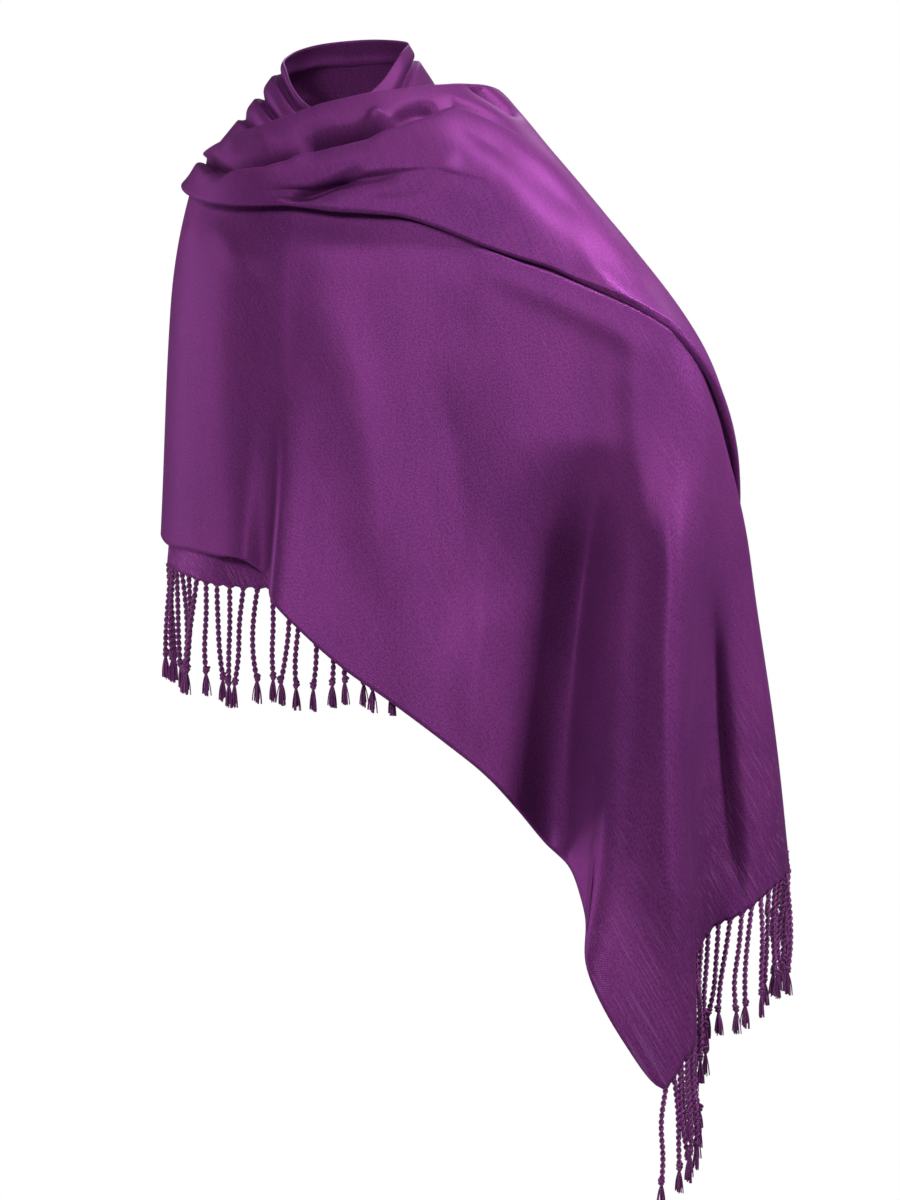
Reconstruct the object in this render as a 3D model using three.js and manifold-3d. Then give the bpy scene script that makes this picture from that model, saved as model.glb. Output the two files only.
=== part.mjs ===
// A pashmina shawl, worn: one woven rectangle wound round the shoulders, with a knotted fringe at both
// ends. Millimetres, +Z up, +X towards the raised elbow, +Y behind. The origin is the centre of the
// base of the neck. The first end hangs in front under everything (under_end), rises over the shoulder
// and stands round the nape (neck_wrap), crosses the back (back_fall) and comes forward again as the
// outer turn. A pleat parts that turn in two: the gathered upper half fans over the other shoulder
// and arm (shoulder_wrap), and the lower half hangs smooth to its pointed corner (front_fall).

import * as THREE from 'three';
import { mergeVertices } from 'three/addons/utils/BufferGeometryUtils.js';
import Module from 'manifold-3d';

// Driving sizes of the cloth
const CLOTH_WALL = 1.5;
const SEAM_GAP = 0.9;
const UNDER_STRIP_DROP = 1;
const END_STRIP_DROP = 2.3;
const LIP_RADIUS = 3;
const LIP_ANGLES = [50, 100, 150];

// Half widths of a crease above and below its line: it is steep where one side overhangs the other
const FIRST_CREASE = { above: 13, below: 4 };
const SECOND_CREASE = { above: 4, below: 11 };
const NECK_CREASE = { above: 6, below: 6 };
const CREASE_STEP = 5;
const LOWEST_CREASE = 0.75;

// Driving sizes of the fringe
const STRAND_LENGTH = 92;
const STRAND_LENGTH_SPREAD = 4;
const STRAND_LEAN = 1.4;
const STRAND_PITCH = 10;
const UNDER_STRAND_PITCH = 12.5;
const STRIP_HEIGHT = 3;
const STRAND_SIDES = 3;
const STRAND_TWIST = 0.5;

// How fast length and lean change from strand to strand, in radians, so that no two neighbours match
const STRAND_CHANGE = { length: 5.1, sideways: 1.3, backwards: 0.9 };

// One strand from its root to its end: how far down it is, and how thick
const STRAND_PROFILE = [
  { down: 0, radius: 1.4 },
  { down: 0.45, radius: 1.4 },
  { down: 0.76, radius: 1.3 },
  { down: 0.8, radius: 2.4 },
  { down: 0.84, radius: 1.4 },
  { down: 1, radius: 2.6 },
];

// The outer turn, a row for each rib, from behind the lowered arm round the front to the end's hem.
// Columns: top edge, upper band, lower band, pleat line, waist of the fall, foot of the fall
const OUTER_RIBS = [
  [[-84, 96, -16], [-93, 103, -26], [-98, 108, -36], [-98, 108, -46], [-99, 112, -182], [-100, 111, -318]],
  [[-104, 66, -12], [-114, 71, -22], [-120, 75, -32], [-122, 76, -42], [-130, 80, -180], [-132, 80, -316]],
  [[-112, 28, -13], [-118, 31, -22], [-124, 33, -31], [-131, 34, -39], [-141, 36, -178], [-146, 36, -313]],
  [[-105, -8, -9], [-114, -11, -21], [-121, -12, -34], [-127, -9, -46], [-137, -10, -184], [-141, -10, -323]],
  [[-91, -42, -3], [-101, -48, -19], [-109, -51, -37], [-113, -47, -54], [-119, -51, -190], [-123, -50, -327]],
  [[-73, -66, 3], [-82, -75, -16], [-90, -80, -37], [-92, -78, -58], [-97, -81, -195], [-101, -80, -332]],
  [[-53, -82, 10], [-60, -94, -12], [-67, -101, -36], [-68, -100, -59], [-74, -102, -197], [-80, -100, -335]],
  [[-35, -88, 16], [-40, -103, -8], [-46, -112, -34], [-48, -112, -59], [-56, -114, -203], [-62, -99, -348]],
  [[-17, -92, 22], [-21, -109, -4], [-27, -119, -33], [-30, -120, -61], [-42, -122, -213], [-57, -128, -367]],
  [[1, -94, 26], [-1, -114, -2], [-6, -126, -33], [-10, -128, -64], [-20, -130, -229], [-30, -136, -395]],
  [[19, -94, 30], [20, -117, 0], [20, -131, -33], [20, -136, -66], [11, -139, -243], [0, -141, -421]],
  [[35, -92, 32], [39, -118, 0], [43, -135, -35], [47, -143, -70], [42, -146, -257], [36, -147, -446]],
  [[50, -88, 34], [59, -118, 0], [69, -137, -39], [78, -149, -81], [77, -153, -277], [75, -156, -475]],
  [[64, -83, 36], [78, -117, -1], [93, -139, -46], [108, -155, -94], [110, -160, -299], [112, -166, -505]],
  [[77, -77, 37], [97, -115, -4], [117, -141, -53], [136, -161, -105], [136, -165, -316], [135, -149, -530]],
  [[88, -70, 38], [114, -112, -8], [139, -144, -60], [162, -166, -114], [160, -169, -334], [156, -141, -556]],
  [[98, -62, 38], [131, -108, -12], [160, -145, -68], [188, -171, -125], [184, -172, -350], [176, -159, -577]],
  [[106, -54, 38], [144, -104, -17], [178, -145, -76], [208, -174, -133], [202, -176, -369], [186, -161, -610]],
  [[113, -45, 37], [156, -99, -23], [194, -143, -84], [226, -176, -141], [216, -181, -392], [187, -186, -650]],
  [[119, -35, 35], [167, -92, -30], [209, -140, -93], [243, -177, -150], [233, -187, -424], [214, -196, -705]],
  [[124, -25, 31], [177, -84, -38], [222, -136, -103], [257, -175, -158], [249, -193, -448], [246, -196, -743]],
  [[128, -14, 27], [186, -75, -46], [236, -130, -115], [270, -172, -170], [259, -190, -447], [262, -192, -722]],
  [[131, -3, 23], [194, -65, -54], [249, -122, -128], [281, -167, -184], [266, -183, -450], [271, -181, -706]],
  [[133, 8, 20], [201, -54, -61], [261, -112, -142], [289, -160, -198], [271, -168, -446], [263, -150, -690]],
  [[135, 18, 17], [206, -42, -67], [272, -101, -157], [296, -151, -214], [279, -150, -438], [268, -128, -655]],
  [[135, 28, 13], [209, -30, -73], [281, -88, -173], [302, -141, -234], [291, -138, -430], [285, -121, -622]],
  [[134, 39, 7], [209, -18, -80], [286, -73, -190], [306, -130, -254], [306, -130, -432], [309, -122, -610]],
  [[131, 50, -1], [206, -5, -90], [286, -57, -206], [308, -118, -272], [319, -120, -433], [329, -112, -593]],
  [[127, 61, -12], [201, 8, -103], [281, -41, -222], [309, -105, -290], [328, -104, -435], [343, -90, -580]],
  [[124, 77, -28], [195, 23, -120], [273, -24, -238], [309, -90, -308], [331, -82, -441], [347, -62, -573]],
  [[120, 94, -50], [189, 40, -143], [263, -6, -258], [308, -72, -328], [328, -64, -442], [344, -52, -556]],
  [[113, 118, -80], [182, 63, -173], [253, 13, -280], [305, -50, -352], [321, -44, -441], [335, -36, -530]],
  [[106, 131, -120], [174, 83, -210], [243, 33, -306], [300, -26, -380], [311, -22, -442], [322, -18, -503]],
  [[100, 141, -170], [166, 103, -252], [232, 56, -337], [292, 0, -412], [299, 0, -447], [306, 0, -480]],
  [[94, 150, -225], [158, 118, -300], [222, 78, -372], [281, 24, -446], [286, 20, -456], [290, 16, -466]],
];
const CORNER_RIB = 20;
const OUTERMOST_RIB = 29;
const LAST_RIB = OUTER_RIBS.length - 1;

// The cowl's two creases: where they cross a rib between its top edge and the pleat, and how deep
const COWL_CREASES = [
  { rib: 0, first: 0.35, firstDeep: 0, second: 0.68, secondDeep: 0 },
  { rib: 2, first: 0.3, firstDeep: 4, second: 0.7, secondDeep: 1 },
  { rib: 3, first: 0.4, firstDeep: 7, second: 0.74, secondDeep: 1 },
  { rib: 4, first: 0.58, firstDeep: 6, second: 0.8, secondDeep: 1 },
  { rib: 6, first: 0.58, firstDeep: 4, second: 0.84, secondDeep: 2 },
  { rib: 8, first: 0.46, firstDeep: 6, second: 0.84, secondDeep: 4 },
  { rib: 9, first: 0.42, firstDeep: 7, second: 0.76, secondDeep: 4.5 },
  { rib: 10, first: 0.38, firstDeep: 7.5, second: 0.7, secondDeep: 4 },
  { rib: 12, first: 0.27, firstDeep: 6.5, second: 0.62, secondDeep: 1 },
  { rib: 14, first: 0.16, firstDeep: 4, second: 0.6, secondDeep: 0 },
  { rib: 17, first: 0.25, firstDeep: 0, second: 0.6, secondDeep: 0 },
  { rib: 34, first: 0.25, firstDeep: 0, second: 0.6, secondDeep: 0 },
];

// The pleat: how far the upper half ends above the lower half's edge, and how much of the lower
// half's edge shows, from 0 where it runs up behind the cowl to 1 where it rolls over in front
const PLEAT = [
  { rib: 0, slot: 0, shows: 0 },
  { rib: 10, slot: 0, shows: 0 },
  { rib: 13, slot: 3.4, shows: 1 },
  { rib: 15, slot: 8, shows: 1 },
  { rib: 17, slot: 4.2, shows: 1 },
  { rib: 20, slot: 4.2, shows: 1 },
  { rib: 24, slot: 9, shows: 1 },
  { rib: 26, slot: 8, shows: 1 },
  { rib: 29, slot: 4.6, shows: 1 },
  { rib: 34, slot: 4, shows: 1 },
];

// How the lower half's edge runs in behind the upper half, as steps inwards and upwards
const TUCK_HIDDEN = [
  { inward: 10.5, up: 10 },
  { inward: 10, up: 4 },
  { inward: 9.5, up: 0.5 },
  { inward: 9, up: -2.5 },
];
const TUCK_ROLLED = [
  { inward: 10, up: 10 },
  { inward: 8, up: 1 },
  { inward: 2.5, up: 0 },
  { inward: 0, up: -2.5 },
];
const TUCK_FADE = 0.35;
const FALL_START = 5;

// How far the top edge of the outer turn rolls inwards, in degrees
const TOP_ROLL = [
  { rib: 0, turn: 40 },
  { rib: 3, turn: 40 },
  { rib: 6, turn: 150 },
  { rib: 22, turn: 150 },
  { rib: 26, turn: 40 },
  { rib: 34, turn: 40 },
];

// The stretch round the nape, a row for each rib, from the front right of the neck round behind it.
// Columns: upper edge, slope, foot
const NECK_RIBS = [
  [[8, -70, 22], [13, -77, 12], [20, -84, 2]],
  [[19, -64, 30], [29, -70, 18], [40, -76, 8]],
  [[29, -56, 40], [42, -60, 24], [58, -64, 12]],
  [[37, -46, 52], [52, -46, 33], [72, -46, 14]],
  [[43, -34, 62], [59, -30, 41], [84, -22, 12]],
  [[47, -18, 68], [64, -10, 45], [98, 10, -12]],
  [[49, 0, 71], [66, 16, 44], [108.5, 49, -20]],
  [[46, 20, 74], [58, 40, 42], [96.4, 80.5, -22]],
  [[36, 37, 76], [44, 60, 40], [64, 103, -24]],
  [[20, 48, 77], [21, 74, 38], [24, 121, -24]],
  [[0, 52, 76], [-5, 78, 35], [-14, 123, -24]],
  [[-21, 46, 73], [-31, 74, 32], [-48, 113, -26]],
  [[-37, 33, 68], [-53, 58, 26], [-77, 91, -26]],
  [[-46, 14, 62], [-66, 36, 24], [-97, 59, -20]],
  [[-49, -8, 57], [-75, 8, 24], [-105, 24, -12]],
  [[-47, -28, 50], [-72, -22, 19], [-94, -14, -14]],
  [[-43, -44, 38], [-63, -46, 9], [-80, -48, -22]],
  [[-36, -56, 27], [-50, -64, 0], [-62, -72, -26]],
  [[-27, -66, 19], [-33, -76, -6], [-38, -86, -30]],
  [[-14, -74, 12], [-13, -83, -11], [-10, -92, -34]],
];

// The two pleats round the neck: where they cross a rib between its upper edge and foot, and how deep
const NECK_PLEATS = [
  { rib: 0, first: 0.45, firstDeep: 1, second: 0.8, secondDeep: 0 },
  { rib: 3, first: 0.38, firstDeep: 3, second: 0.78, secondDeep: 0.5 },
  { rib: 6, first: 0.22, firstDeep: 3, second: 0.7, secondDeep: 1 },
  { rib: 9, first: 0.22, firstDeep: 1.5, second: 0.6, secondDeep: 1.5 },
  { rib: 12, first: 0.18, firstDeep: 2, second: 0.48, secondDeep: 2 },
  { rib: 14, first: 0.14, firstDeep: 3, second: 0.4, secondDeep: 3.5 },
  { rib: 16, first: 0.14, firstDeep: 3.5, second: 0.42, secondDeep: 3.5 },
  { rib: 19, first: 0.2, firstDeep: 1.5, second: 0.55, secondDeep: 1.5 },
];

// The stretch across the back, a row for each rib, from the raised arm to the lowered one.
// Columns: top edge, shoulder blade, waist, foot
const BACK_RIBS = [
  [[102, 6, 24], [166, 24, -100], [186, 36, -205], [196, 46, -310]],
  [[96, 26, 26], [148, 62, -84], [164, 78, -203], [172, 88, -322]],
  [[82, 50, 30], [120, 96, -72], [132, 104, -200], [138, 108, -330]],
  [[60, 72, 34], [88, 126, -68], [94, 133, -200], [96, 134, -333]],
  [[32, 88, 34], [48, 146, -66], [50, 152, -200], [50, 156, -333]],
  [[0, 96, 30], [4, 152, -64], [4, 166, -198], [4, 170, -331]],
  [[-34, 98, 20], [-36, 150, -62], [-37, 158, -196], [-38, 162, -328]],
  [[-64, 98, 4], [-74, 132, -58], [-75, 142, -192], [-76, 141, -324]],
  [[-83, 96.5, -16], [-97, 108.5, -46], [-98, 112.5, -182], [-99, 111.5, -318]],
];

// The first end, a row for each rib, from the lowered arm inwards. Columns: waist, hem
const UNDER_RIBS = [
  [[-126, 23, -175], [-141, 20, -337]],
  [[-115, -24, -180], [-129, -30, -345]],
  [[-94, -62, -188], [-101, -70, -354]],
  [[-62, -86, -190], [-58, -94, -357]],
  [[-22, -102, -194], [0, -117, -359]],
  [[28, -113, -198], [66, -133, -363]],
];

// Stations between the two edges of a plain stretch, and along its ribs
const FALL_STATIONS = [0, 0.1, 0.22, 0.36, 0.5, 0.62, 0.74, 0.87, 1];
const PLAIN_STATIONS = [0, 0.1, 0.25, 0.4, 0.55, 0.7, 0.85, 1];
const FINE_RIBS_FROM = 12;
const FINE_RIBS_TO = 27;
const FINE_STEP = 0.5;

// How closely directions and lengths are measured on a surface, and points are welded
const DIRECTION_STEP = 0.02;
const LENGTH_STEP = 0.1;
const WELD_DISTANCE = 1e-3;

const wasm = await Module();
wasm.setup();

const vector = ([x, y, z]) => new THREE.Vector3(x, y, z);
const clamp = THREE.MathUtils.clamp;
const lerp = THREE.MathUtils.lerp;

// The whole numbers and steps between two rib numbers
function ribsFrom(first, last, step) {
  const count = Math.round((last - first) / step);
  return Array.from({ length: count + 1 }, (_, n) => first + n * step);
}

// A value that changes along the ribs, read from a table with a rib column
function along(table, column, rib) {
  const after = clamp(table.findIndex((row) => row.rib >= rib), 1, table.length - 1);
  const [a, b] = [table[after - 1], table[after]];
  return lerp(a[column], b[column], clamp((rib - a.rib) / (b.rib - a.rib), 0, 1));
}

// A smooth surface through ribs: a column is a line across them, and each rib runs through its points
function surfaceThrough(ribs) {
  const lines = ribs[0].map((_, column) => new THREE.CatmullRomCurve3(ribs.map((rib) => vector(rib[column]))));
  return (rib, down) => {
    const points = lines.map((line) => line.getPoint(clamp(rib / (ribs.length - 1), 0, 1)));
    return new THREE.CatmullRomCurve3(points).getPoint(clamp(down, 0, 1));
  };
}

// A point of a surface, with the directions down its rib and outwards, and the rib's length
function placeOn(surface, rib, down) {
  const low = clamp(down - DIRECTION_STEP, 0, 1);
  const high = clamp(down + DIRECTION_STEP, 0, 1);
  const point = surface(rib, down);
  const downwards = surface(rib, high).sub(surface(rib, low)).normalize();
  const across = surface(rib + DIRECTION_STEP, down).sub(surface(rib - DIRECTION_STEP, down)).normalize();
  const outwards = downwards.clone().cross(across).normalize();
  return { point, downwards, outwards };
}

function ribLength(surface, rib) {
  const points = ribsFrom(0, 1, LENGTH_STEP).map((down) => surface(rib, down));
  return points.slice(1).reduce((sum, point, n) => sum + point.distanceTo(points[n]), 0);
}

// A place on the cloth, moved downwards and outwards in its own directions
function moved({ point, downwards, outwards }, down, out) {
  return point.clone().addScaledVector(downwards, down).addScaledVector(outwards, out);
}

// How far a crease sinks the cloth at a distance below its line
function sink(deep, distance, { above, below }) {
  return deep * Math.exp(-((distance / (distance < 0 ? above : below)) ** 2));
}

// A closed wall on a grid of points: columns of stations, each from the top edge to the foot
function wallOn(columns, thickness = CLOTH_WALL) {
  const across = columns.length;
  const down = columns[0].length;
  const at = (i, j) => columns[clamp(i, 0, across - 1)][clamp(j, 0, down - 1)];
  const positions = [];
  for (const side of [0.5, -0.5]) {
    for (let i = 0; i < across; i += 1) {
      for (let j = 0; j < down; j += 1) {
        const downwards = at(i, j + 1).clone().sub(at(i, j - 1));
        const sideways = at(i + 1, j).clone().sub(at(i - 1, j));
        const outwards = downwards.cross(sideways).normalize();
        positions.push(...at(i, j).clone().addScaledVector(outwards, side * thickness).toArray());
      }
    }
  }
  const outer = (i, j) => i * down + j;
  const inner = (i, j) => across * down + outer(i, j);
  const faces = [];
  const quad = (a, b, c, d) => faces.push(a, b, c, c, b, d);
  for (let i = 0; i < across - 1; i += 1) {
    for (let j = 0; j < down - 1; j += 1) {
      quad(outer(i, j), outer(i, j + 1), outer(i + 1, j), outer(i + 1, j + 1));
      quad(inner(i, j), inner(i + 1, j), inner(i, j + 1), inner(i + 1, j + 1));
    }
    quad(inner(i, 0), outer(i, 0), inner(i + 1, 0), outer(i + 1, 0));
    quad(outer(i, down - 1), inner(i, down - 1), outer(i + 1, down - 1), inner(i + 1, down - 1));
  }
  for (let j = 0; j < down - 1; j += 1) {
    quad(inner(0, j), inner(0, j + 1), outer(0, j), outer(0, j + 1));
    quad(outer(across - 1, j), outer(across - 1, j + 1), inner(across - 1, j), inner(across - 1, j + 1));
  }
  return solidGeometry(positions, faces);
}

function solidGeometry(positions, faces) {
  const geometry = new THREE.BufferGeometry();
  geometry.setAttribute('position', new THREE.Float32BufferAttribute(positions, 3));
  geometry.setIndex(faces);
  return geometry;
}

const outerTurn = surfaceThrough(OUTER_RIBS);
const upperHalf = surfaceThrough(OUTER_RIBS.map((rib) => rib.slice(0, 4)));
const lowerHalf = surfaceThrough(OUTER_RIBS.map((rib) => rib.slice(3)));
const neck = surfaceThrough(NECK_RIBS);
const back = surfaceThrough(BACK_RIBS);

// The upper half of the outer turn: a rolled top edge, two creases, and a lip that turns in at the pleat
function shoulderWrap() {
  const columns = ribsFrom(0, LAST_RIB, 1).map((rib) => {
    const length = ribLength(upperHalf, rib);
    const turn = along(TOP_ROLL, 'turn', rib);
    const rise = LIP_RADIUS * Math.sin(THREE.MathUtils.degToRad(Math.min(turn, 90)));
    const start = rise / length;
    const end = 1 - (along(PLEAT, 'slot', rib) + LIP_RADIUS) / length;
    const first = along(COWL_CREASES, 'first', rib);
    const second = Math.min(along(COWL_CREASES, 'second', rib), lerp(first, end, LOWEST_CREASE));
    const beside = Math.min(CREASE_STEP / length, (second - first) / 3);
    const stations = [start, lerp(start, first, 0.5), first, first + beside, (first + second) / 2];
    stations.push(second - beside, second, lerp(second, end, 1 / 3), lerp(second, end, 2 / 3), end);
    const body = stations.map((down) => {
      const sunk = sink(along(COWL_CREASES, 'firstDeep', rib), (down - first) * length, FIRST_CREASE)
        + sink(along(COWL_CREASES, 'secondDeep', rib), (down - second) * length, SECOND_CREASE);
      return moved(placeOn(upperHalf, rib, down), 0, -sunk);
    });
    const top = rolledEdge(placeOn(upperHalf, rib, start), -1, turn).reverse();
    const lip = rolledEdge(placeOn(upperHalf, rib, end), 1, LIP_ANGLES.at(-1));
    return [...top, ...body, ...lip];
  });
  return wallOn(columns);
}

// Points of an edge that rolls inwards, upwards for side -1 and downwards for side 1
function rolledEdge(place, side, turn) {
  return LIP_ANGLES.map((angle) => {
    const turned = THREE.MathUtils.degToRad(angle * turn / LIP_ANGLES.at(-1));
    const out = -LIP_RADIUS * (1 - Math.cos(turned));
    return moved(place, side * LIP_RADIUS * Math.sin(turned), out);
  });
}

// The lower half of the outer turn: it runs in behind the cowl, or rolls over in front of it
function frontFall() {
  const ribs = [
    ...ribsFrom(0, FINE_RIBS_FROM, 1),
    ...ribsFrom(FINE_RIBS_FROM + FINE_STEP, FINE_RIBS_TO, FINE_STEP),
    ...ribsFrom(FINE_RIBS_TO + 1, LAST_RIB, 1),
  ];
  const columns = ribs.map((rib) => {
    const shows = along(PLEAT, 'shows', rib);
    const edge = placeOn(lowerHalf, rib, 0);
    const upperEdge = placeOn(upperHalf, rib, 1);
    const tuck = TUCK_HIDDEN.map((hidden, n) => {
      const inward = lerp(hidden.inward, TUCK_ROLLED[n].inward, shows);
      const up = lerp(hidden.up, TUCK_ROLLED[n].up, shows);
      return moved(up < 0 ? edge : upperEdge, -up, -inward);
    });
    const start = FALL_START / ribLength(lowerHalf, rib);
    const body = FALL_STATIONS.map((station) => {
      const down = lerp(start, 1, station);
      const fade = clamp(1 - down / TUCK_FADE, 0, 1) ** 2;
      return moved(placeOn(lowerHalf, rib, down), 0, -TUCK_HIDDEN.at(-1).inward * (1 - shows) * fade);
    });
    return [...tuck, ...body];
  });
  return wallOn(columns);
}

// The standing stretch round the neck, with its two pleats
function neckWrap() {
  const columns = ribsFrom(0, NECK_RIBS.length - 1, FINE_STEP).map((rib) => {
    const length = ribLength(neck, rib);
    const first = along(NECK_PLEATS, 'first', rib);
    const second = along(NECK_PLEATS, 'second', rib);
    const stations = [0, first / 2, first, (first + second) / 2, second, (second + 1) / 2, 1];
    return stations.map((down) => {
      const sunk = sink(along(NECK_PLEATS, 'firstDeep', rib), (down - first) * length, NECK_CREASE)
        + sink(along(NECK_PLEATS, 'secondDeep', rib), (down - second) * length, NECK_CREASE);
      return moved(placeOn(neck, rib, down), 0, -sunk);
    });
  });
  return wallOn(columns);
}

function backFall() {
  const columns = ribsFrom(0, BACK_RIBS.length - 1, FINE_STEP).map((rib) => (
    PLAIN_STATIONS.map((down) => back(rib, down))
  ));
  return wallOn(columns);
}

// The first end hangs on from the foot of the last neck ribs, a seam's gap below it
const underRibs = UNDER_RIBS.map(([waist, hem], n) => {
  const foot = vector(NECK_RIBS[NECK_RIBS.length - UNDER_RIBS.length + n][2]);
  const start = foot.clone().addScaledVector(vector(waist).sub(foot).normalize(), SEAM_GAP);
  return [start.toArray(), waist, hem];
});
const under = surfaceThrough(underRibs);

function underEnd() {
  const columns = ribsFrom(0, underRibs.length - 1, FINE_STEP).map((rib) => (
    PLAIN_STATIONS.map((down) => under(rib, down))
  ));
  return wallOn(columns);
}

// Places at an even pitch along a line of points, the first a quarter of the pitch in
function placesAlong(points, pitch) {
  const line = new THREE.CatmullRomCurve3(points);
  const length = line.getLength();
  const count = Math.floor(length / pitch);
  return ribsFrom(0, count, 1).map((n) => line.getPointAt(clamp((n + 0.25) * pitch / length, 0, 1)));
}

// One strand: a three-sided cord with a knot near its end, below which it frays
function strand(root, number) {
  const length = STRAND_LENGTH + STRAND_LENGTH_SPREAD * Math.sin(number * STRAND_CHANGE.length);
  const sideways = Math.sin(number * STRAND_CHANGE.sideways);
  const backwards = Math.cos(number * STRAND_CHANGE.backwards);
  const lean = new THREE.Vector3(sideways, backwards, 0).multiplyScalar(STRAND_LEAN);
  const positions = [];
  for (const { down, radius } of STRAND_PROFILE) {
    const centre = root.clone().addScaledVector(lean, down ** 2);
    for (let n = 0; n < STRAND_SIDES; n += 1) {
      const angle = 2 * Math.PI * (n / STRAND_SIDES + down * STRAND_TWIST);
      const point = new THREE.Vector3(radius * Math.cos(angle), radius * Math.sin(angle), -length * down);
      positions.push(...point.add(centre).toArray());
    }
  }
  const faces = [0, 1, 2];
  for (let ring = 0; ring < STRAND_PROFILE.length - 1; ring += 1) {
    for (let n = 0; n < STRAND_SIDES; n += 1) {
      const a = ring * STRAND_SIDES + n;
      const b = ring * STRAND_SIDES + (n + 1) % STRAND_SIDES;
      faces.push(a, a + STRAND_SIDES, b, b, a + STRAND_SIDES, b + STRAND_SIDES);
    }
  }
  const tip = (STRAND_PROFILE.length - 1) * STRAND_SIDES;
  faces.push(tip, tip + 2, tip + 1);
  return solidGeometry(positions, faces);
}

function asManifold(geometry) {
  const merged = mergeVertices(geometry, WELD_DISTANCE);
  const vertProperties = merged.attributes.position.array;
  const triVerts = new Uint32Array(merged.index.array);
  return new wasm.Manifold(new wasm.Mesh({ numProp: 3, vertProperties, triVerts }));
}

// A fringe: a narrow strip just below a hem, with its strands fused into it
function fringe(hem, pitch, top) {
  const columns = hem.map((point) => [
    point.clone().setZ(point.z - top),
    point.clone().setZ(point.z - top - STRIP_HEIGHT),
  ]);
  let solid = asManifold(wallOn(columns));
  placesAlong(hem, pitch).forEach((place, number) => {
    const root = place.clone().setZ(place.z - top - STRIP_HEIGHT / 2);
    solid = solid.add(asManifold(strand(root, number)));
  });
  const { vertProperties, triVerts } = solid.getMesh();
  return solidGeometry(Array.from(vertProperties), Array.from(triVerts));
}

const underHem = ribsFrom(0, underRibs.length - 1, FINE_STEP).map((rib) => under(rib, 1));
const frontHem = ribsFrom(CORNER_RIB, OUTERMOST_RIB, FINE_STEP).map((rib) => outerTurn(rib, 1));
const backHem = [
  ...ribsFrom(OUTERMOST_RIB + FINE_STEP, LAST_RIB, FINE_STEP).map((rib) => outerTurn(rib, 1)),
  ...ribsFrom(0, 1, LENGTH_STEP).reverse().map((down) => upperHalf(LAST_RIB, down)),
];

const SHAWL_COLOUR = 0x602c60;

const group = new THREE.Group();

function piece(name, geometry, roughness) {
  const material = new THREE.MeshStandardMaterial({ color: SHAWL_COLOUR, roughness, metalness: 0 });
  const mesh = new THREE.Mesh(geometry, material);
  mesh.name = name;
  group.add(mesh);
}

piece('front_fall', frontFall(), 0.45);
piece('shoulder_wrap', shoulderWrap(), 0.45);
piece('neck_wrap', neckWrap(), 0.45);
piece('back_fall', backFall(), 0.45);
piece('under_end', underEnd(), 0.45);
piece('fringe_under', fringe(underHem, UNDER_STRAND_PITCH, UNDER_STRIP_DROP), 0.6);
piece('fringe_front', fringe(frontHem, STRAND_PITCH, END_STRIP_DROP), 0.6);
piece('fringe_back', fringe(backHem, STRAND_PITCH, END_STRIP_DROP), 0.6);

export default group;
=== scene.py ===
"""A worn pashmina shawl: the cloth with its creases and weave, and its twisted, knotted fringe."""

import bpy
import numpy as np
from bpy.props import FloatProperty, FloatVectorProperty, IntProperty, PointerProperty
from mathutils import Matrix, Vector


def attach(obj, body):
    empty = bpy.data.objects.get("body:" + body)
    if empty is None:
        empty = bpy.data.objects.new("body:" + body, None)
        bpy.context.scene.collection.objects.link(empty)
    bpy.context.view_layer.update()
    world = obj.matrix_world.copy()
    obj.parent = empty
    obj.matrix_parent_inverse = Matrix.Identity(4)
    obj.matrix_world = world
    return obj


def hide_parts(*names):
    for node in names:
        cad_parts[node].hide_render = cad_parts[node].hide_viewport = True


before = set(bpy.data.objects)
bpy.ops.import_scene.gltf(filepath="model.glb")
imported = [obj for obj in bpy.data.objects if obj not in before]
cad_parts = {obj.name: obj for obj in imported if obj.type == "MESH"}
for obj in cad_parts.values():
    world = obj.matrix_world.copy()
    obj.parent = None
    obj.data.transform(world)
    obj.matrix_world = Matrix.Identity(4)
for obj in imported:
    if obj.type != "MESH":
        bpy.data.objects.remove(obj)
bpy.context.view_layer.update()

bl_info = {
    "name": "Pashmina shawl",
    "version": (1, 0, 0),
    "blender": (4, 5, 0),
    "location": "View3D > Sidebar > Shawl",
    "description": "Makes a worn shawl with its creases, weave and fringe",
    "category": "Add Mesh",
}

# The tables below are in millimetres, and their places along a rib are shares of its length
MM = 0.001

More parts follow.
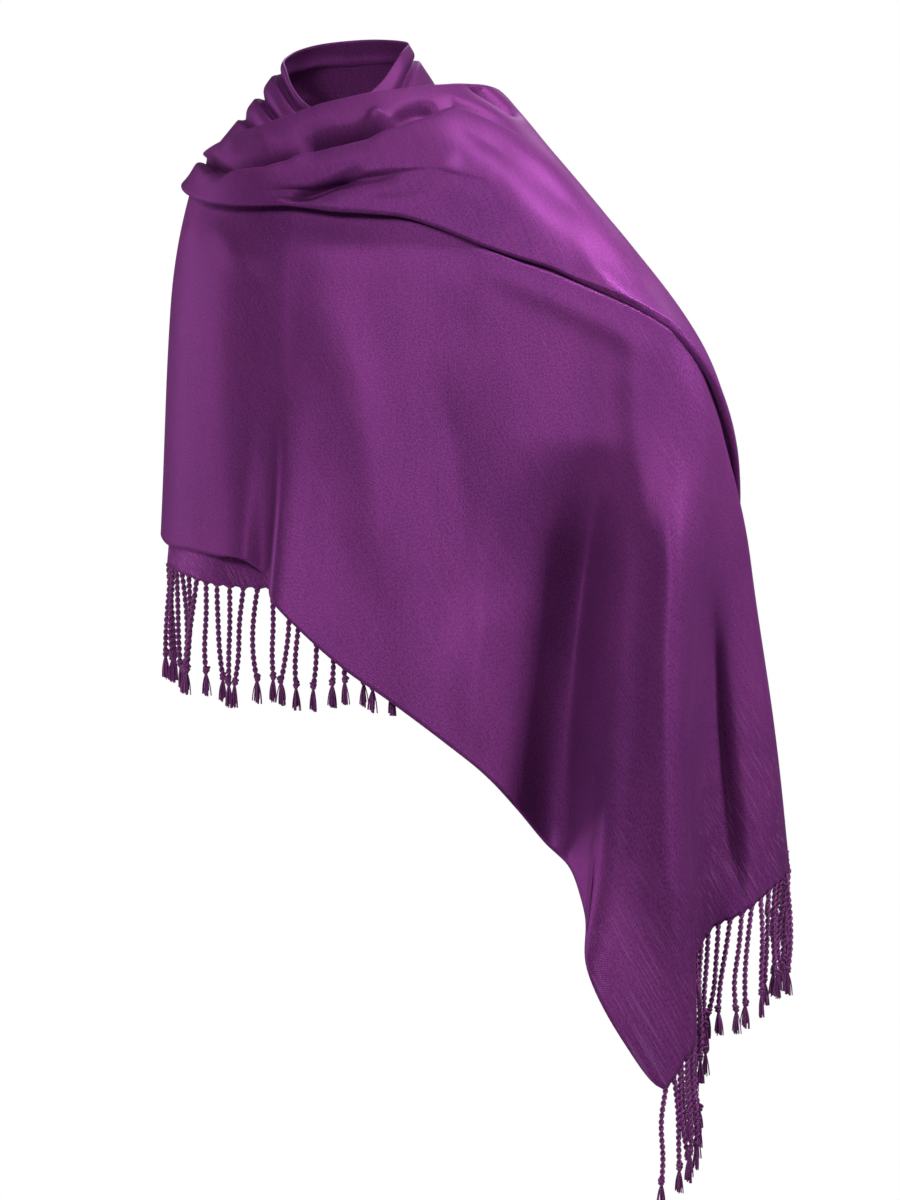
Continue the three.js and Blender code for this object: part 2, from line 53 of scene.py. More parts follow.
# The outer turn, two rows a rib, from behind the lowered arm round the front to the end's hem: its
# top edge, upper band and lower band, and then its pleat line, and the fall's waist and foot
OUTER_RIBS = [
    [[-84, 96, -16], [-93, 103, -26], [-98, 108, -36],
     [-98, 108, -46], [-99, 112, -182], [-100, 111, -318]],
    [[-104, 66, -12], [-114, 71, -22], [-120, 75, -32],
     [-122, 76, -42], [-130, 80, -180], [-132, 80, -316]],
    [[-112, 28, -13], [-118, 31, -22], [-124, 33, -31],
     [-131, 34, -39], [-141, 36, -178], [-146, 36, -313]],
    [[-105, -8, -9], [-114, -11, -21], [-121, -12, -34],
     [-127, -9, -46], [-137, -10, -184], [-141, -10, -323]],
    [[-91, -42, -3], [-101, -48, -19], [-109, -51, -37],
     [-113, -47, -54], [-119, -51, -190], [-123, -50, -327]],
    [[-73, -66, 3], [-82, -75, -16], [-90, -80, -37],
     [-92, -78, -58], [-97, -81, -195], [-101, -80, -332]],
    [[-53, -82, 10], [-60, -94, -12], [-67, -101, -36],
     [-68, -100, -59], [-74, -102, -197], [-80, -100, -335]],
    [[-35, -88, 16], [-40, -103, -8], [-46, -112, -34],
     [-48, -112, -59], [-56, -114, -203], [-62, -99, -348]],
    [[-17, -92, 22], [-21, -109, -4], [-27, -119, -33],
     [-30, -120, -61], [-42, -122, -213], [-57, -128, -367]],
    [[1, -94, 26], [-1, -114, -2], [-6, -126, -33],
     [-10, -128, -64], [-20, -130, -229], [-30, -136, -395]],
    [[19, -94, 30], [20, -117, 0], [20, -131, -33],
     [20, -136, -66], [11, -139, -243], [0, -141, -421]],
    [[35, -92, 32], [39, -118, 0], [43, -135, -35],
     [47, -143, -70], [42, -146, -257], [36, -147, -446]],
    [[50, -88, 34], [59, -118, 0], [69, -137, -39],
     [78, -149, -81], [77, -153, -277], [75, -156, -475]],
    [[64, -83, 36], [78, -117, -1], [93, -139, -46],
     [108, -155, -94], [110, -160, -299], [112, -166, -505]],
    [[77, -77, 37], [97, -115, -4], [117, -141, -53],
     [136, -161, -105], [136, -165, -316], [135, -149, -530]],
    [[88, -70, 38], [114, -112, -8], [139, -144, -60],
     [162, -166, -114], [160, -169, -334], [156, -141, -556]],
    [[98, -62, 38], [131, -108, -12], [160, -145, -68],
     [188, -171, -125], [184, -172, -350], [176, -159, -577]],
    [[106, -54, 38], [144, -104, -17], [178, -145, -76],
     [208, -174, -133], [202, -176, -369], [186, -161, -610]],
    [[113, -45, 37], [156, -99, -23], [194, -143, -84],
     [226, -176, -141], [216, -181, -392], [187, -186, -650]],
    [[119, -35, 35], [167, -92, -30], [209, -140, -93],
     [243, -177, -150], [233, -187, -424], [214, -196, -705]],
    [[124, -25, 31], [177, -84, -38], [222, -136, -103],
     [257, -175, -158], [249, -193, -448], [246, -196, -743]],
    [[128, -14, 27], [186, -75, -46], [236, -130, -115],
     [270, -172, -170], [259, -190, -447], [262, -192, -722]],
    [[131, -3, 23], [194, -65, -54], [249, -122, -128],
     [281, -167, -184], [266, -183, -450], [271, -181, -706]],
    [[133, 8, 20], [201, -54, -61], [261, -112, -142],
     [289, -160, -198], [271, -168, -446], [263, -150, -690]],
    [[135, 18, 17], [206, -42, -67], [272, -101, -157],
     [296, -151, -214], [279, -150, -438], [268, -128, -655]],
    [[135, 28, 13], [209, -30, -73], [281, -88, -173],
     [302, -141, -234], [291, -138, -430], [285, -121, -622]],
    [[134, 39, 7], [209, -18, -80], [286, -73, -190],
     [306, -130, -254], [306, -130, -432], [309, -122, -610]],
    [[131, 50, -1], [206, -5, -90], [286, -57, -206],
     [308, -118, -272], [319, -120, -433], [329, -112, -593]],
    [[127, 61, -12], [201, 8, -103], [281, -41, -222],
     [309, -105, -290], [328, -104, -435], [343, -90, -580]],
    [[124, 77, -28], [195, 23, -120], [273, -24, -238],
     [309, -90, -308], [331, -82, -441], [347, -62, -573]],
    [[120, 94, -50], [189, 40, -143], [263, -6, -258],
     [308, -72, -328], [328, -64, -442], [344, -52, -556]],
    [[113, 118, -80], [182, 63, -173], [253, 13, -280],
     [305, -50, -352], [321, -44, -441], [335, -36, -530]],
    [[106, 131, -120], [174, 83, -210], [243, 33, -306],
     [300, -26, -380], [311, -22, -442], [322, -18, -503]],
    [[100, 141, -170], [166, 103, -252], [232, 56, -337],
     [292, 0, -412], [299, 0, -447], [306, 0, -480]],
    [[94, 150, -225], [158, 118, -300], [222, 78, -372],
     [281, 24, -446], [286, 20, -456], [290, 16, -466]],
]
CORNER_RIB = 20
OUTERMOST_RIB = 29
LAST_RIB = len(OUTER_RIBS) - 1

# The stretch round the nape. Columns: upper edge, slope, foot
NECK_RIBS = [
    [[8, -70, 22], [13, -77, 12], [20, -84, 2]],
    [[19, -64, 30], [29, -70, 18], [40, -76, 8]],
    [[29, -56, 40], [42, -60, 24], [58, -64, 12]],
    [[37, -46, 52], [52, -46, 33], [72, -46, 14]],
    [[43, -34, 62], [59, -30, 41], [84, -22, 12]],
    [[47, -18, 68], [64, -10, 45], [98, 10, -12]],
    [[49, 0, 71], [66, 16, 44], [108.5, 49, -20]],
    [[46, 20, 74], [58, 40, 42], [96.4, 80.5, -22]],
    [[36, 37, 76], [44, 60, 40], [64, 103, -24]],
    [[20, 48, 77], [21, 74, 38], [24, 121, -24]],
    [[0, 52, 76], [-5, 78, 35], [-14, 123, -24]],
    [[-21, 46, 73], [-31, 74, 32], [-48, 113, -26]],
    [[-37, 33, 68], [-53, 58, 26], [-77, 91, -26]],
    [[-46, 14, 62], [-66, 36, 24], [-97, 59, -20]],
    [[-49, -8, 57], [-75, 8, 24], [-105, 24, -12]],
    [[-47, -28, 50], [-72, -22, 19], [-94, -14, -14]],
    [[-43, -44, 38], [-63, -46, 9], [-80, -48, -22]],
    [[-36, -56, 27], [-50, -64, 0], [-62, -72, -26]],
    [[-27, -66, 19], [-33, -76, -6], [-38, -86, -30]],
    [[-14, -74, 12], [-13, -83, -11], [-10, -92, -34]],
]

# The stretch across the back. Columns: top edge, shoulder blade, waist, foot
BACK_RIBS = [
    [[102, 6, 24], [166, 24, -100], [186, 36, -205], [196, 46, -310]],
    [[96, 26, 26], [148, 62, -84], [164, 78, -203], [172, 88, -322]],
    [[82, 50, 30], [120, 96, -72], [132, 104, -200], [138, 108, -330]],
    [[60, 72, 34], [88, 126, -68], [94, 133, -200], [96, 134, -333]],
    [[32, 88, 34], [48, 146, -66], [50, 152, -200], [50, 156, -333]],
    [[0, 96, 30], [4, 152, -64], [4, 166, -198], [4, 170, -331]],
    [[-34, 98, 20], [-36, 150, -62], [-37, 158, -196], [-38, 162, -328]],
    [[-64, 98, 4], [-74, 132, -58], [-75, 142, -192], [-76, 141, -324]],
    [[-84, 96, -16], [-98, 108, -46], [-99, 112, -182], [-100, 111, -318]],
]

# The first end, which hangs on from the feet of the last neck ribs. Columns: waist, hem
UNDER_RIBS = [
    [[-126, 23, -175], [-141, 20, -337]],
    [[-115, -24, -180], [-129, -30, -345]],
    [[-94, -62, -188], [-101, -70, -354]],
    [[-62, -86, -190], [-58, -94, -357]],
    [[-22, -102, -194], [0, -117, -359]],
    [[28, -113, -198], [66, -133, -363]],
]

# The cowl's two creases. Columns: rib, first crease's place down the rib and depth, second's
COWL_CREASES = np.array([
    [0, 0.35, 0, 0.68, 0],
    [2, 0.3, 4, 0.7, 0],
    [3, 0.4, 7, 0.74, 0],
    [4, 0.58, 6, 0.8, 0],
    [6, 0.58, 6, 0.84, 0],
    [8, 0.46, 7, 0.84, 3.4],
    [9, 0.42, 7, 0.76, 4.5],
    [10, 0.38, 7.5, 0.7, 4],
    [12, 0.27, 6.5, 0.62, 1],
    [14, 0.16, 4, 0.6, 0],
    [17, 0.25, 0, 0.6, 0],
    [34, 0.25, 0, 0.6, 0],
])

# The pleat. Columns: rib, slot between its two lips, how much of the fall's own edge shows
PLEAT = np.array([
    [0, 0, 0], [10, 0, 0], [13, 3.4, 1], [15, 8, 1], [17, 4.2, 1], [20, 4.2, 1],
    [24, 5, 1], [26, 5, 1], [29, 4.6, 1], [34, 4, 1],
])

# The upper lip's roll fills some of the slot, so its edge stops after this share of it
SLOT_CLOSING = 0.8

# How far the fall's edge stands inside the wrap's, under the cowl and at the elbow, and how far
# down the fall that reaches. Columns: rib, depth
RECESS = np.array([
    [2, 0], [4, 6], [9, 8], [12, 3], [14, 0], [17, 0],
    [20, 4], [23, 9], [26, 11], [28, 6], [31, 0],
])
RECESS_REACH = 24

# How far the outer turn's top edge rolls in. Columns: rib, degrees
TOP_ROLL = np.array([[0, 40], [3, 40], [6, 150], [22, 150], [26, 40], [34, 40]])

# The pleats round the neck. Columns: rib, first pleat's place and depth, second's, third's
NECK_PLEATS = np.array([
    [0, 0.45, 1, 0.8, 0, 0.95, 0],
    [3, 0.38, 3.4, 0.78, 0.5, 0.95, 0],
    [6, 0.22, 3.4, 0.7, 1, 0.9, 0],
    [9, 0.22, 1.5, 0.6, 1.5, 0.8, 0.5],
    [12, 0.18, 2, 0.48, 2, 0.72, 1],
    [14, 0.14, 3.6, 0.4, 4, 0.64, 2.6],
    [16, 0.14, 4.4, 0.42, 4.4, 0.66, 3],
    [19, 0.2, 2, 0.55, 1.5, 0.75, 0],
])

# How the fall's edge runs in behind the upper half, as (inward, up) steps, where it is hidden and
# where it shows as a rolled edge. The hidden one comes out again over a share of the drop
TUCK_HIDDEN = np.array([
    [10.5, 12], [10.2, 7], [10, 4], [9.7, 1.8], [9.5, 0.5], [9.2, -1], [9, -2.5]])
TUCK_ROLLED = np.array([
    [10, 12], [9.6, 5], [8.4, 1.6], [6, 0.5], [3.6, 0.3], [1.2, -0.6], [0, -2.5]])
TUCK_FADE = 0.35
FALL_START = 5

# The rolled edges of the upper half
LIP_RADIUS = 3
LIP_STEPS = 7
LIP_TURN = 150

# Half widths of a crease above and below its line: it is steep where one side overhangs the other
FIRST_CREASE = (10, 2.2)
SECOND_CREASE = (2.2, 12)
NECK_CREASE = (6, 1.4)

# The creases are this many times as deep as their tables say. The cloth above the first one laps
# over it, as (how far, how far below its line, half widths), most where it is this deep or deeper.
# The second lies no lower than a share of the way from the first to the edge
CREASE_GAIN = 1.9
CREASE_LAP = (4.0, 2, (2, 5))
DEEP_CREASE = 5
LOWEST_CREASE = 0.75

# Soft folds, each a line over the front or back of a stretch. Columns: x and z of its start and of
# its end, height (a trough where negative), half widths on its two sides. Each fades out over a
# share of its length at both ends, and wanders sideways by a share of its width
FOLD_FADE = 0.28
FOLD_WANDER = 0.25
WIDEST_WANDER = 30
FOLD_WAVES = 1.3
RIDGE_POWER = 2
TROUGH_POWER = 1.6
FALL_FOLDS = [
    [-121, -50, -134, -95, 2.4, 3, 3],
    [-112, -58, -70, -130, 2, 8, 8],
    [-10, -110, 30, -380, 3, 22, 16],
    [96, -88, 250, -190, 2.5, 12, 16],
    [66, -170, 100, -430, -3, 20, 20],
    [112, -350, 118, -500, 3, 16, 14],
    [194, -240, 174, -655, -54, 42, 16],
    [236, -330, 226, -620, 3, 9, 12],
    [226, -140, 244, -360, 4, 12, 18],
    [250, -240, 268, -700, 14, 18, 12],
    [290, -330, 300, -640, -14, 18, 9],
    [322, -330, 334, -590, 3, 9, 9],
]
WRAP_FOLDS = [
    [-40, -19, 28, 10, -19, 9, 8],
    [31, 17, 14, -2, 5, 4, 5],
    [34, 9, 72, 19, -9, 6, 3.5],
    [-72, -31, -42, -20, -6, 4, 4],
    [-98, -12, -52, -6, 3.4, 7, 7],
    [-113, -14, -92, -38, -12, 5, 4],
    [92, 38, 144, 11, -11, 3, 3],
    [-50, -58, 16, -33, -10, 4, 5],
    [30, -46, 92, -20, 3, 9, 9],
    [78, 12, 196, -78, -4, 12, 12],
    [116, 0, 246, -120, 4, 12, 12],
    [176, -92, 270, -176, 3, 9, 9],
    [12, -55, 70, -50, -2, 5, 5],
]
WRAP_BACK_FOLDS = [
    [128, 0, 270, -290, 5, 13, 13],
    [118, -40, 240, -330, -6, 12, 12],
    [108, -100, 215, -360, 5, 13, 13],
    [150, -60, 292, -260, -4, 12, 12],
]
BACK_FOLDS = [
    [84, -10, -60, -190, 6, 14, 14],
    [60, 0, -80, -120, -6, 13, 13],
    [130, -90, -20, -300, -6, 15, 15],
    [150, -150, 40, -330, 6, 15, 15],
    [-30, -10, -85, -70, 4, 10, 10],
    [90, -240, 20, -330, -4, 10, 10],
]
UNDER_FOLDS = [
    [-110, -60, -120, -330, 3, 9, 9],
    [-70, -60, -70, -340, -3, 10, 10],
    [-20, -80, 10, -350, 3, 12, 12],
]

# For random turns and phases, in radians
FULL_TURN = 6.28

# Low uneven waves over the wide stretches, in metres: height, and the seed of their directions
RIPPLES = {"front_fall": (0.0009, 4), "shoulder_wrap": (0.0007, 11), "back_fall": (0.001, 23)}
RIPPLE_WAVES = 7
RIPPLE_RATE = 26
RIPPLE_STRETCH = (1.5, 1.5, 0.45)

# How long and how deep each stretch is in metres, which sets its numbers of columns and rows
EXTENTS = {
    "front_fall": (1.18, 0.36),
    "shoulder_wrap": (1.05, 0.46),
    "neck_wrap": (0.47, 0.12),
    "back_fall": (0.42, 0.38),
    "under_end": (0.24, 0.35),
}
NECK_MESH_SHARE = 0.75

# How far above a hem the weave is open enough to show its slubs and the painted light of the
# backdrop through it, in metres
OPEN_WEAVE_FRONT = 0.24
OPEN_WEAVE_UNDER = 0.08
CLOSED_WEAVE = 0.0

# Over this many ribs at each side the back's folds fade out
SEAM_RIBS = 0.6

# How far a strand's knot hangs to one side of its root. Columns: root's x, shift
UNDER_TIPS = [
    [-141, 1], [-134, 1], [-125, -1], [-114, -2], [-107, 1], [-100, 6], [-92, 2],
    [-86, -8], [-74, 3], [-62, -2], [-50, -8], [-38, -8], [-20, 0], [66, 0],
]
FRONT_TIPS = [
    [240, 7], [250, 6], [263, 7], [271, 5], [278, -2], [286, -7],
    [296, -12], [305, -11], [314, -4], [325, -2], [335, 0], [347, -2],
]


class ShawlSettings(bpy.types.PropertyGroup):
    cloth_thickness: FloatProperty(
        name="Cloth thickness", description="Thickness of the woven cloth",
        default=0.0012, unit="LENGTH")
    mesh_step: FloatProperty(
        name="Mesh step", description="Size of one face of the cloth",
        default=0.0036, unit="LENGTH")
    hem_scallop: FloatProperty(
        name="Hem scallop", description="How far each strand gathers the hem",
        default=0.0032, unit="LENGTH")
    cloth_colour: FloatVectorProperty(
        name="Cloth colour", description="Colour of the ground cloth", subtype="COLOR",
        default=(0.136, 0.0265, 0.126), min=0, max=1)
    shade_colour: FloatVectorProperty(
        name="Shade colour", description="Colour of the cloth's darker threads", subtype="COLOR",
        default=(0.060, 0.0125, 0.076), min=0, max=1)


class FringeSettings(bpy.types.PropertyGroup):
    strand_length: FloatProperty(
        name="Strand length", description="Root to frayed end", default=0.090, unit="LENGTH")
    strand_pitch: FloatProperty(
        name="Strand pitch", description="Spacing along the hem", default=0.010, unit="LENGTH")
    under_pitch: FloatProperty(
        name="First end's pitch", description="Spacing along the first end's hem",
        default=0.0125, unit="LENGTH")
    ply_radius: FloatProperty(
        name="Ply radius", description="Radius of one of the two plies",
        default=0.00135, unit="LENGTH")
    twist_pitch: FloatProperty(
        name="Twist", description="Length of one full turn of the plies",
        default=0.0096, unit="LENGTH")
    fibres: IntProperty(
        name="Fibres", description="Loose fibres in each frayed end", default=26, min=3, max=60)
    yarn_colour: FloatVectorProperty(
        name="Yarn colour", description="Colour of the twisted yarn", subtype="COLOR",
        default=(0.165, 0.034, 0.158), min=0, max=1)
    hollow_colour: FloatVectorProperty(
        name="Hollow colour", description="Colour of the yarn's darker fibres", subtype="COLOR",
        default=(0.058, 0.011, 0.056), min=0, max=1)


def cubic_between(p0, p1, p2, p3, t):
    """One stretch of a centripetal spline, between p1 and p2."""
    def span(a, b):
        return np.sqrt(np.maximum(np.linalg.norm(b - a, axis=-1, keepdims=True), 1e-6))

    d0, d1, d2 = span(p0, p1), span(p1, p2), span(p2, p3)
    slope1 = ((p1 - p0) / d0 - (p2 - p0) / (d0 + d1) + (p2 - p1) / d1) * d1
    slope2 = ((p2 - p1) / d1 - (p3 - p1) / (d1 + d2) + (p3 - p2) / d2) * d1
    square = -3 * p1 + 3 * p2 - 2 * slope1 - slope2
    cube = 2 * p1 - 2 * p2 + slope1 + slope2
    return p1 + slope1 * t + square * t**2 + cube * t**3


def with_ends(points):
    """A row of points with one more at each end, in line with the last two."""
    return np.concatenate([[2 * points[0] - points[1]], points, [2 * points[-1] - points[-2]]])


class Surface:
    """A smooth surface through ribs, each of which runs down through the same number of points."""

    def __init__(self, ribs):
        self.ribs = np.array(ribs, float) * MM
        self.last = len(self.ribs) - 1

    def points(self, rib, down):
        """Points at rib numbers (n) and places down each rib (n, m), as an (n, m, 3) array."""
        padded = with_ends(self.ribs)
        place = np.clip(rib, 0, self.last)
        k = np.minimum(place.astype(int), self.last - 1)
        t = (place - k)[:, None, None]
        lines = cubic_between(*(padded[k + i] for i in range(4)), t)
        controls = with_ends(lines.transpose(1, 0, 2))
        spans = lines.shape[1] - 1
        place = np.clip(down, 0, 1) * spans
        k = np.minimum(place.astype(int), spans - 1)
        t = (place - k)[..., None]
        n = np.arange(len(rib))[:, None]
        return cubic_between(*(controls[k + i, n] for i in range(4)), t)

    def places(self, rib, down):
        """Points with the unit directions down the rib and outwards."""
        step = 0.01
        downwards = self.points(rib, down + step) - self.points(rib, down - step)
        across = self.points(rib + step, down) - self.points(rib - step, down)
        downwards = unit(downwards)
        return self.points(rib, down), downwards, unit(np.cross(downwards, across))

    def lengths(self, rib):
        """The length of each rib from its top to its foot."""
        line = self.points(rib, np.tile(np.linspace(0, 1, 21), (len(rib), 1)))
        return np.linalg.norm(np.diff(line, axis=1), axis=2).sum(axis=1)


def unit(vectors):
    return vectors / np.maximum(np.linalg.norm(vectors, axis=-1, keepdims=True), 1e-12)


def read_table(table, column, rib):
    """A column of a table whose first column is the rib, at any rib numbers."""
    return np.interp(rib, table[:, 0], table[:, column])


def smooth(x):
    x = np.clip(x, 0, 1)
    return x * x * (3 - 2 * x)


def crease(depth, distance, half_widths):
    """How far a crease sinks the cloth at a distance below its line."""
    above, below = half_widths
    return depth * np.exp(-(distance / np.where(distance < 0, above, below)) ** 2)


def fold_height(points, folds, side, outwards):
    """The height of soft folds, each laid along its line in the picture's plane, on one side."""
    x, z = points[..., 0] / MM, points[..., 2] / MM
    height = np.zeros(x.shape)
    for x0, z0, x1, z1, high, left, right in folds:
        along = np.array([x1 - x0, z1 - z0], float)
        length = np.linalg.norm(along)
        along /= length
        s = ((x - x0) * along[0] + (z - z0) * along[1]) / length
        off = (x - x0) * -along[1] + (z - z0) * along[0]
        wander = min(left + right, WIDEST_WANDER) * FOLD_WANDER
        off = off + wander * np.sin(np.pi * s * FOLD_WAVES + x0)
        taper = smooth(s / FOLD_FADE) * smooth((1 - s) / FOLD_FADE)
        away = np.abs(off) / np.where(off < 0, left, right)
        shape = np.exp(-away ** (RIDGE_POWER if high > 0 else TROUGH_POWER))
        height += high * shape * taper
    facing = smooth(side * outwards[..., 1] * 3)
    return height * facing * MM


def ripples(points, stretch):
    """Low uneven waves that keep a wide stretch of cloth from lying like a board."""
    height, seed = RIPPLES[stretch]
    rng = np.random.default_rng(seed)
    total = np.zeros(points.shape[:-1])
    for _ in range(RIPPLE_WAVES):
        wave = rng.normal(size=3) * RIPPLE_RATE * np.array(RIPPLE_STRETCH)
        total += np.sin(points @ wave + rng.uniform(0, FULL_TURN)) / RIPPLE_WAVES**0.5
    return total * height


def grid_counts(stretch, step):
    """How many columns and rows of faces about this size a stretch has."""
    along, drop = EXTENTS[stretch]
    return int(along / step), int(drop / step)


def arc_lengths(line):
    """How far along a line each of its points is."""
    return np.concatenate([[0], np.cumsum(np.linalg.norm(np.diff(line, axis=0), axis=1))])


def add_object(name, data):
    obj = bpy.data.objects.new(name, data)
    bpy.context.collection.objects.link(obj)
    return obj


def add_piece(name, mesh, node):
    """A piece of the shawl, which shows in place of its node."""
    obj = add_object(name, mesh)
    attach(obj, "root")
    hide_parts(node)
    return obj


def wall_mesh(name, points, thickness, open_weave):
    """A closed shell of cloth on a grid of points, with a UV map in metres along and across it."""
    across, down = points.shape[:2]
    outwards = unit(np.cross(np.gradient(points, axis=1), np.gradient(points, axis=0)))
    shell = np.concatenate([points + outwards * thickness / 2, points - outwards * thickness / 2])
    outer, inner = np.arange(2 * across * down).reshape(2, across, down)

    def quads(a, b, c, d):
        return np.stack([a, b, c, d], axis=-1).reshape(-1, 4)

    faces = np.concatenate([
        quads(outer[:-1, :-1], outer[:-1, 1:], outer[1:, 1:], outer[1:, :-1]),
        quads(inner[:-1, :-1], inner[1:, :-1], inner[1:, 1:], inner[:-1, 1:]),
        quads(inner[:-1, 0], outer[:-1, 0], outer[1:, 0], inner[1:, 0]),
        quads(outer[:-1, -1], inner[:-1, -1], inner[1:, -1], outer[1:, -1]),
        quads(inner[0, :-1], inner[0, 1:], outer[0, 1:], outer[0, :-1]),
        quads(outer[-1, :-1], outer[-1, 1:], inner[-1, 1:], inner[-1, :-1]),
    ])
    mesh = bpy.data.meshes.new(name)
    mesh.from_pydata(shell.reshape(-1, 3).tolist(), [], faces.tolist())
    walls = 2 * (across - 1) * (down - 1)
    mesh.polygons.foreach_set("use_smooth", np.arange(len(faces)) < walls)
    along = np.linalg.norm(np.diff(points, axis=0), axis=2).mean(axis=1)
    drop = np.linalg.norm(np.diff(points, axis=1), axis=2).mean(axis=0)
    u = np.concatenate([[0], np.cumsum(along)])
    v = np.concatenate([[0], np.cumsum(drop)])
    grid = np.stack(np.meshgrid(u, v, indexing="ij"), axis=-1).reshape(-1, 2)
    per_vertex = np.concatenate([grid, grid])
    loops = np.empty(len(mesh.loops), int)
    mesh.loops.foreach_get("vertex_index", loops)
    uv = mesh.uv_layers.new(name="Weave")
    uv.data.foreach_set("uv", per_vertex[loops].ravel())
    # Where the weave is open near a hem, which is where the painted light of the backdrop through
    # it shows
    loose = mesh.attributes.new("open_weave", "FLOAT", "POINT")
    loose.data.foreach_set("value", np.tile(np.broadcast_to(open_weave, (across, down)).ravel(), 2))
    mesh.materials.append(bpy.data.materials["shawl_cloth"])
    mesh.update()
    return mesh


class Tree:
    """A node tree with one method for any node: its type, settings and socket values or links.

    A socket goes by its name, with _ for a space, or by s and its number where names repeat.
    """

    def __init__(self, tree):
        self.tree = tree

    def node(self, kind, settings=None, **sockets):
        made = self.tree.nodes.new(kind)
        for key, value in (settings or {}).items():
            setattr(made, key, value)
        for key, value in sockets.items():
            socket = made.inputs[int(key[1:]) if key[1:].isdigit() else key.replace("_", " ")]
            if isinstance(value, Value):
                self.tree.links.new(value.socket, socket)
            elif isinstance(value, bpy.types.NodeSocket):
                self.tree.links.new(value, socket)
            else:
                socket.default_value = value
        return made

    def value(self, kind, output=0, settings=None, **sockets):
        return Value(self, self.node(kind, settings, **sockets).outputs[output])

    def noise(self, place, scale=1.0, detail=1.0):
        return self.value("ShaderNodeTexNoise", Vector=place, Scale=scale, Detail=detail)

    def colours(self, factor, low, high):
        """A mix of two colours, each a socket or red, green and blue."""
        low, high = [c if isinstance(c, bpy.types.NodeSocket) else (*c, 1) for c in (low, high)]
        mixed = self.node("ShaderNodeMix", {"data_type": "RGBA"}, Factor=factor, s6=low, s7=high)
        return mixed.outputs[2]

    def join(self, *parts):
        """All the parts' geometry in one."""
        joined = self.node("GeometryNodeJoinGeometry")
        for part in parts:
            self.tree.links.new(part.outputs[0], joined.inputs[0])
        return joined

    def swept(self, curve, profile):
        """A solid mesh of a profile run along curves."""
        return self.node("GeometryNodeCurveToMesh", Curve=curve.outputs[0],
                         Profile_Curve=profile.outputs[0], Fill_Caps=True)

    def circle(self, sides, radius):
        return self.node("GeometryNodeCurvePrimitiveCircle", Resolution=sides, Radius=radius)

    def random_vector(self, seed, low, high):
        """A vector for each element, between two corners."""
        vector = {"data_type": "FLOAT_VECTOR"}
        return self.node("FunctionNodeRandomValue", vector, Seed=seed, s0=low, s1=high).outputs[0]

    def random_turn(self, seed, lean):
        """Any turn about the upright for each element, with a small lean."""
        return self.random_vector(seed, (-lean, -lean, 0), (lean, lean, FULL_TURN))


class Value:
    """A number socket with the usual arithmetic."""

    def __init__(self, tree, socket):
        self.tree = tree
        self.socket = socket

    def _with(self, operation, a, b):
        return self.tree.value("ShaderNodeMath", settings={"operation": operation}, s0=a, s1=b)

    def __add__(self, other):
        return self._with("ADD", self, other)

    def __sub__(self, other):
        return self._with("SUBTRACT", self, other)

    def __mul__(self, other):
        return self._with("MULTIPLY", self, other)

    def __rsub__(self, other):
        return self._with("SUBTRACT", other, self)

    __radd__ = __add__
    __rmul__ = __mul__


# The warp threads of the hanging corner run down to its hem at this angle from upright
THREAD_LEAN = np.radians(-29)

# Patterns in the cloth, as repeats for each metre: warp across, through and along the threads, and
# weft, grain and twill along and across the cloth
WARP_RATE = (1300, 160, 16)
WEFT_RATE = (900, 22, 1)
GRAIN_RATE = (560, 800, 1)
TWILL_RATE = 560.0
BROAD_RATE = 8.0

# The warp noise between these values is a slub, painted pale: partly the slub's own colour, and
# where the weave is open also painted light of the backdrop showing through, so it shows most there
SLUB_RANGE = (0.56, 0.70)
SLUB_AND_SEE_THROUGH_SHOWS = (0.26, 0.02)
SLUB_AND_SEE_THROUGH_COLOUR = (0.30, 0.135, 0.33)
SHEEN_TINT = (0.8, 0.36, 0.82, 1)
EDGE_TINT = (0.5, 0.2, 0.52, 1)
RELIEF_DEPTH = 0.0003
FIBRE_RATE = 1500.0
YARN_RATE = 60.0


def new_material(name):
    """A material with an empty tree."""
    material = bpy.data.materials.new(name)
    material.use_nodes = True
    material.node_tree.nodes.clear()
    return material, Tree(material.node_tree)


def show(tree, shader, kind="ShaderNodeOutputMaterial"):
    """Links a shader to the tree's output."""
    output = tree.node(kind)
    tree.tree.links.new(shader.outputs[0], output.inputs[0])


